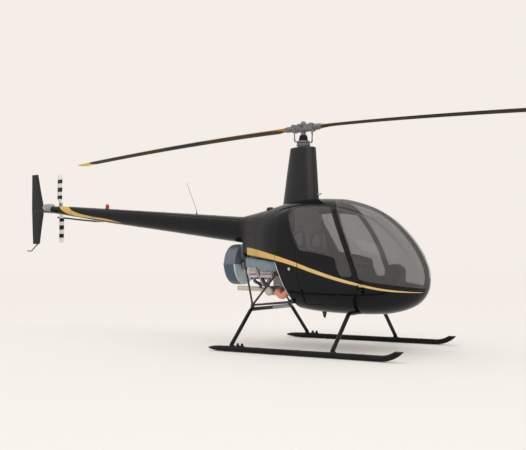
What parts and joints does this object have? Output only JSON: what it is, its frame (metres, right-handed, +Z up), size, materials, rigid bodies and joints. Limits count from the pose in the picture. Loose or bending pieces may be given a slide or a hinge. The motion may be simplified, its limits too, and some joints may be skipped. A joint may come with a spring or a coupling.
{
  "type": "helicopter",
  "caption": "Light helicopter with a glazed cabin, hinged doors, open engine bay, turning main and tail rotors, and skid gear.",
  "frame": {"origin": "on the ground, below the middle of the whole helicopter's length, on its centre plane", "axes": "+X towards the nose, +Y to the left side, +Z up"},
  "size_m": [8.6367, 1.953, 2.73],
  "materials": {
    "black_paint": "gloss",
    "black_shell": "gloss",
    "charcoal_paint": "satin",
    "boom_skin": "gloss",
    "glass": "gloss",
    "seat_cover": "satin",
    "cabin_trim": "matte",
    "dark_metal": "satin",
    "engine_metal": "satin",
    "cylinder_metal": "matte",
    "scroll_paint": "satin",
    "panel_grey": "satin",
    "steel": "satin",
    "exhaust_steel": "satin",
    "hose_red": "matte",
    "lamp_red": "gloss",
    "lamp_lens": "gloss",
    "blade_bronze": "satin",
    "blade_white": "satin",
    "light_alloy": "satin"
  },
  "bodies": {
    "airframe": {"air_hose": "hose_red", "beacon": "lamp_red", "belly_antenna": "dark_metal", "cabin_shell": "black_shell", "carb_airbox": "light_alloy", "console": "cabin_trim", "cooling_panel_right": "panel_grey", "cowling": "black_shell", "cross_tube_front": "black_paint", "cross_tube_rear": "black_paint", "cyclic": "dark_metal", "cylinders_left": "cylinder_metal", "cylinders_right": "cylinder_metal", "engine_block": "engine_metal", "fan_scroll": "scroll_paint", "fan_shaft": "steel", "frame_tubes": "dark_metal", "fuel_cap": "light_alloy", "horizontal_stabiliser": "charcoal_paint", "landing_light": "lamp_lens", "mast_fairing": "black_shell", "muffler": "exhaust_steel", "pedals": "light_alloy", "pitot_tube": "light_alloy", "seat_base": "cabin_trim", "seat_left": "seat_cover", "seat_right": "seat_cover", "skid_left": "black_paint", "skid_right": "black_paint", "swashplate": "light_alloy", "tail_gearbox": "light_alloy", "tail_guard": "dark_metal", "tail_skid": "dark_metal", "tailcone": "boom_skin", "vertical_fin": "charcoal_paint", "whip_antenna": "dark_metal", "windshield_left": "glass", "windshield_right": "glass"},
    "door_right": {"door_right": "black_shell", "door_window_right": "glass"},
    "door_left": {"door_left": "black_shell", "door_window_left": "glass"},
    "main_rotor": {"blade_front": "blade_bronze", "blade_rear": "blade_bronze", "pitch_link_front": "steel", "pitch_link_rear": "steel", "rotor_hub": "dark_metal", "rotor_mast": "steel"},
    "tail_rotor": {"tail_blade_lower": "blade_white", "tail_blade_upper": "blade_white", "tail_rotor_hub": "steel"}
  },
  "joints": [
    {"name": "main_rotor_spin", "type": "hinge", "parent": "airframe", "child": "main_rotor", "pos_m": [0.48, 0, 2.651], "axis": [0, 0, 1], "continuous": true},
    {"name": "tail_rotor_spin", "type": "hinge", "parent": "airframe", "child": "tail_rotor", "pos_m": [-3.908, 0.272, 1.863], "axis": [0, 1, 0], "continuous": true},
    {"name": "door_right_hinge", "type": "hinge", "parent": "airframe", "child": "door_right", "pos_m": [1.428, -0.535, 0.72], "axis": [0, 0, 1], "range_deg": [0, 70]},
    {"name": "door_left_hinge", "type": "hinge", "parent": "airframe", "child": "door_left", "pos_m": [1.428, 0.535, 0.72], "axis": [0, 0, -1], "range_deg": [0, 70]}
  ]
}
